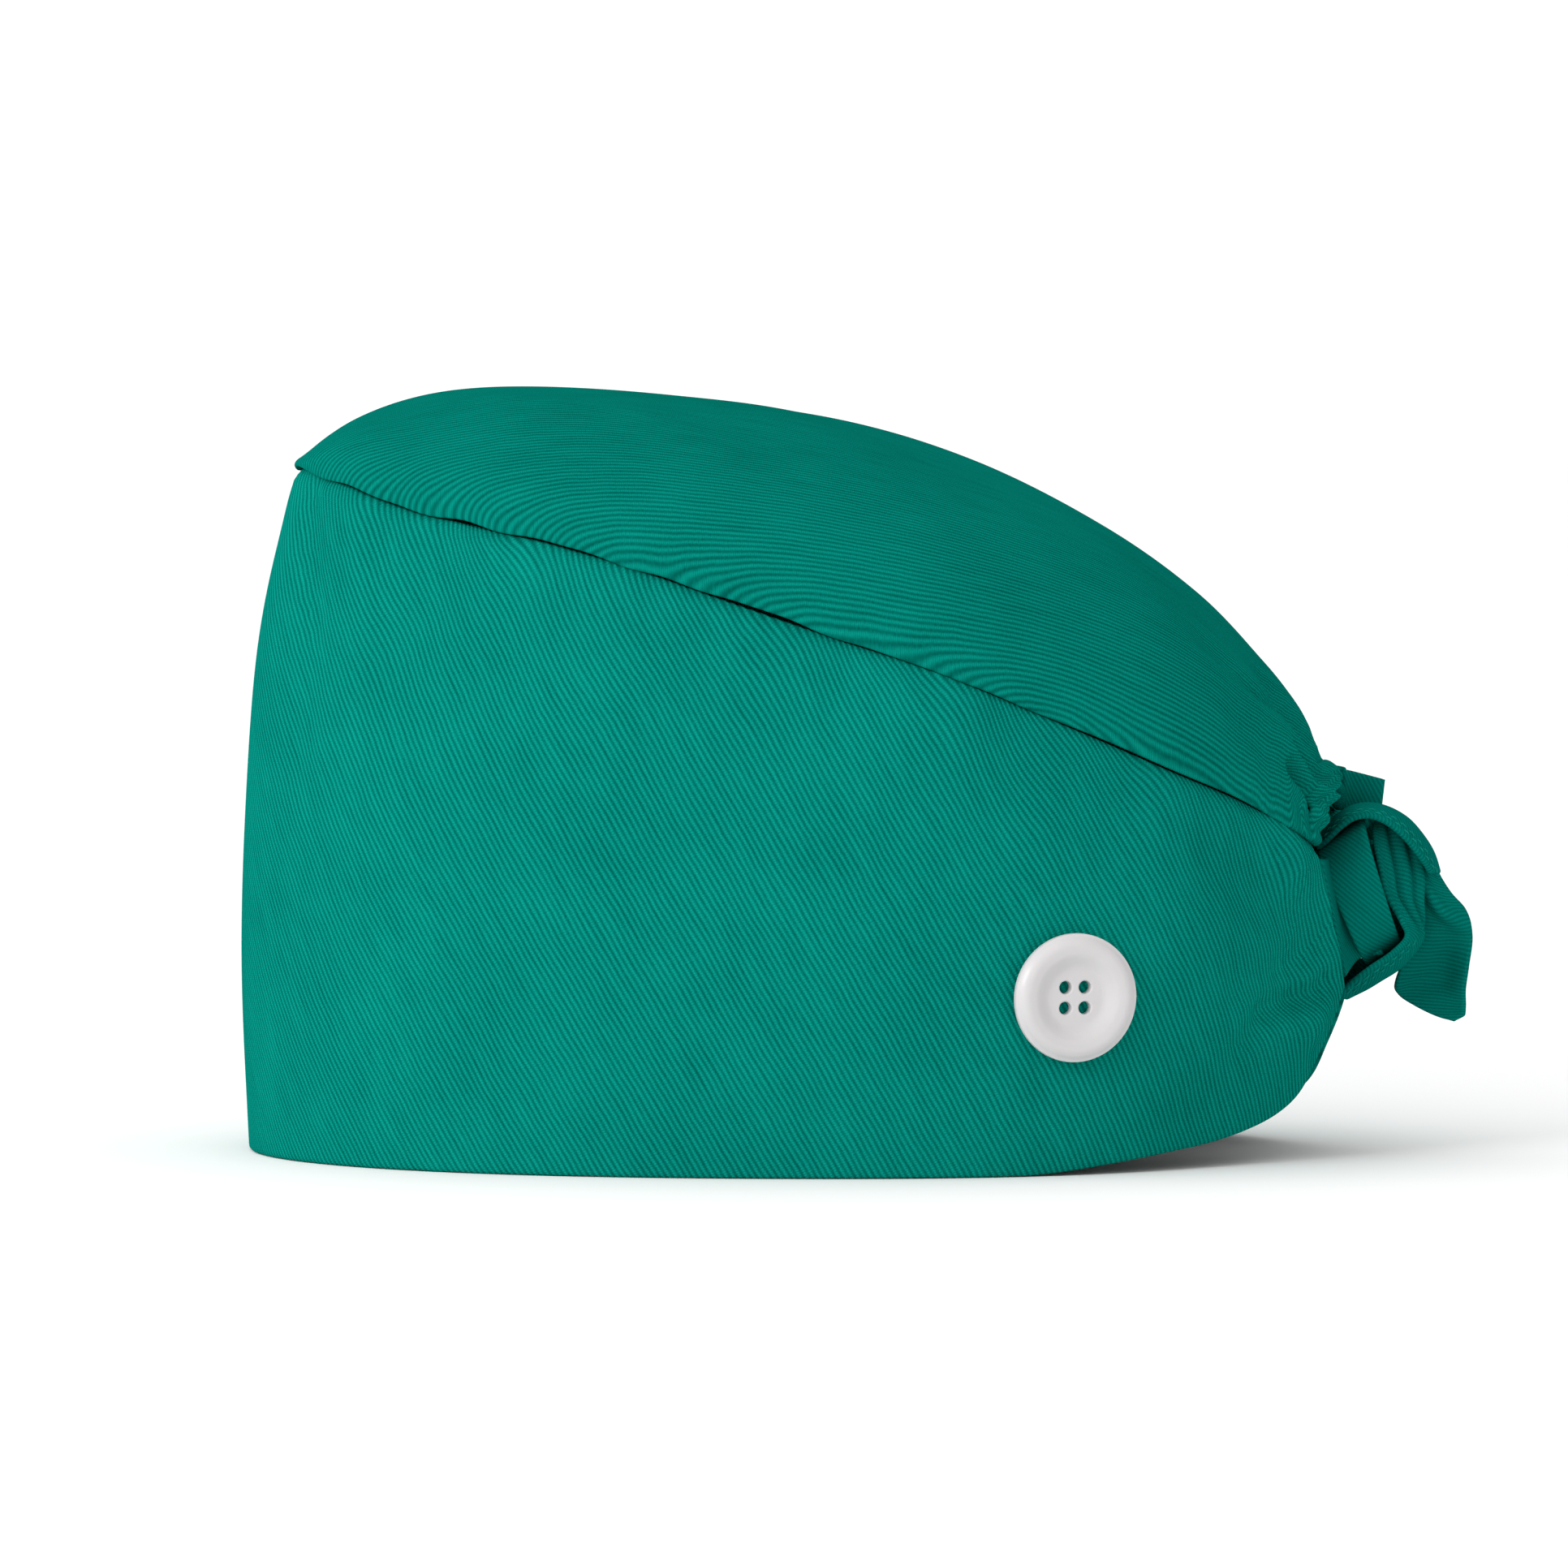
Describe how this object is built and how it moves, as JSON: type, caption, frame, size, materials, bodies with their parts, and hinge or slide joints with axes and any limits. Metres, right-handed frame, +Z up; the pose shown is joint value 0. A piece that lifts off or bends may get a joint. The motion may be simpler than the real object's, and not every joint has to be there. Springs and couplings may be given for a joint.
{
  "type": "scrub cap",
  "caption": "Tie-back scrub cap in green twill with a domed crown, a tall side band, an elastic casing and mask buttons.",
  "frame": {"origin": "under the middle of the whole cap's bounding box, on the surface that its rim stands on", "axes": "+X from the forehead to the knot at the nape, +Y from the wearer's left to the wearer's right, +Z up"},
  "size_m": [0.2456, 0.1662, 0.1518],
  "materials": {
    "band_twill": "matt cotton twill, teal green",
    "crown_twill": "matt cotton twill, teal green",
    "tie_twill": "matt cotton twill, teal green, double stitched",
    "button_plastic": "smooth white"
  },
  "bodies": {
    "root": {"side_band": "band_twill", "crown": "crown_twill", "elastic_casing": "crown_twill", "left_tie": "tie_twill", "right_tie": "tie_twill", "left_button": "button_plastic", "right_button": "button_plastic"}
  },
  "joints": []
}
